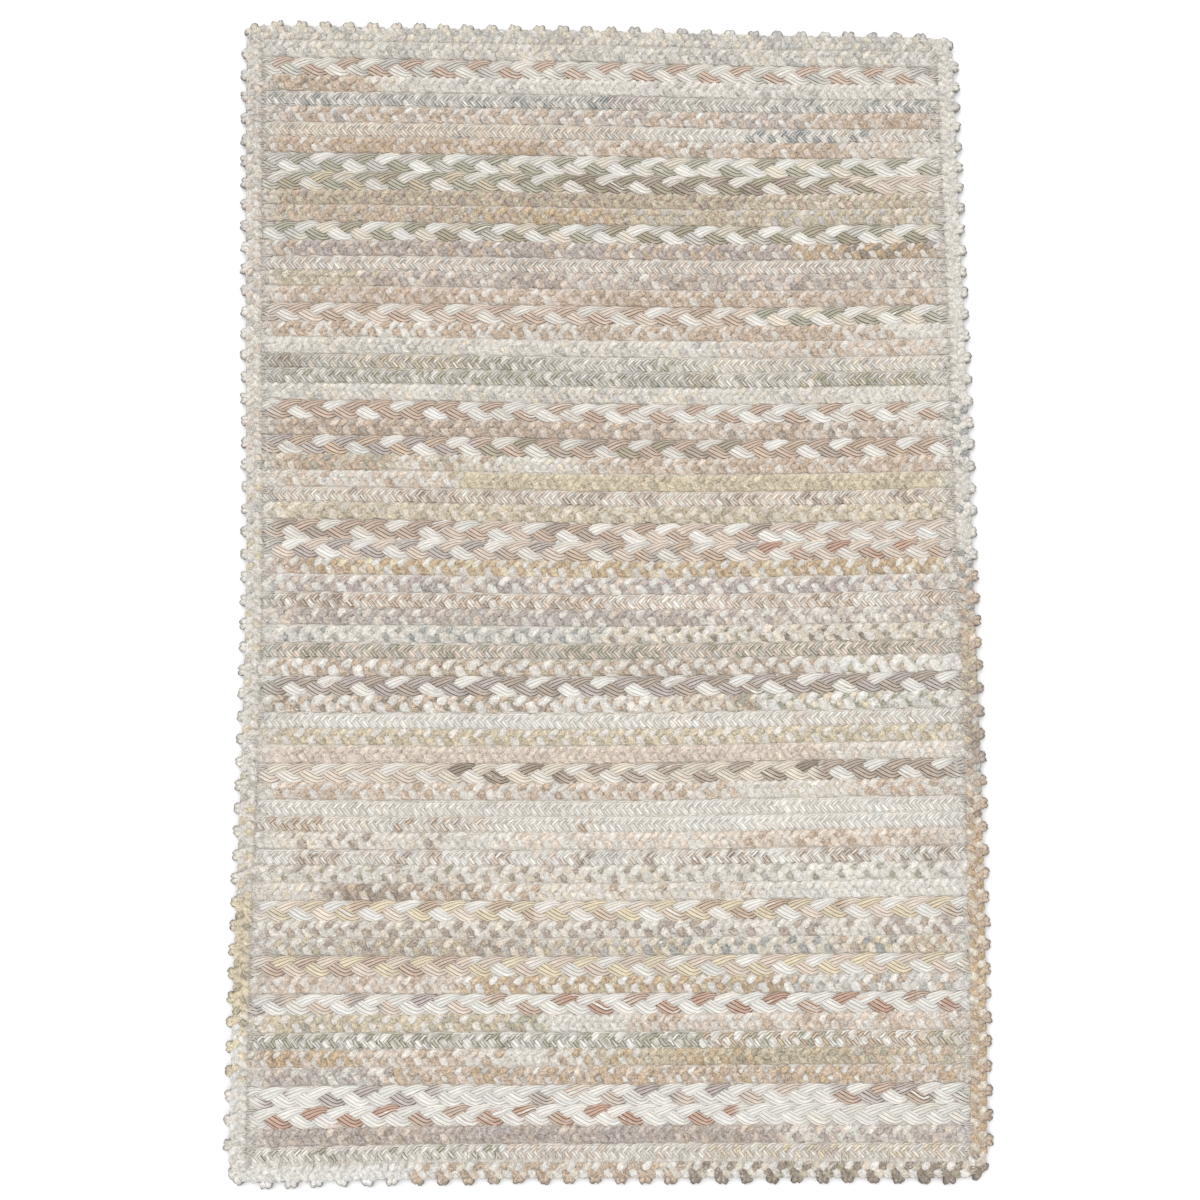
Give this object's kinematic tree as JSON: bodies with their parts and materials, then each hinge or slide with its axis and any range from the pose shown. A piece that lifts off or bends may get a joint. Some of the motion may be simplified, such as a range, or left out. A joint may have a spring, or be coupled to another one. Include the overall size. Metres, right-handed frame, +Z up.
{
  "type": "braided rug",
  "caption": "Rectangular flat rug of three-strand braids laced side by side, framed by a sewn-on chenille braid with picots along its outer edge.",
  "frame": {"origin": "bottom centre of the rug's box, on the surface that the rug lies on", "axes": "+Y along the rug's length, +X across it, +Z up out of the rug's face"},
  "size_m": [0.7882, 1.2278, 0.011],
  "materials": {
    "braids": "braided cotton and chenille yarn, matt",
    "border_braid": "fuzzy chenille braid, matt"
  },
  "bodies": {
    "root": {"field": "braids", "border": "border_braid"}
  },
  "joints": []
}
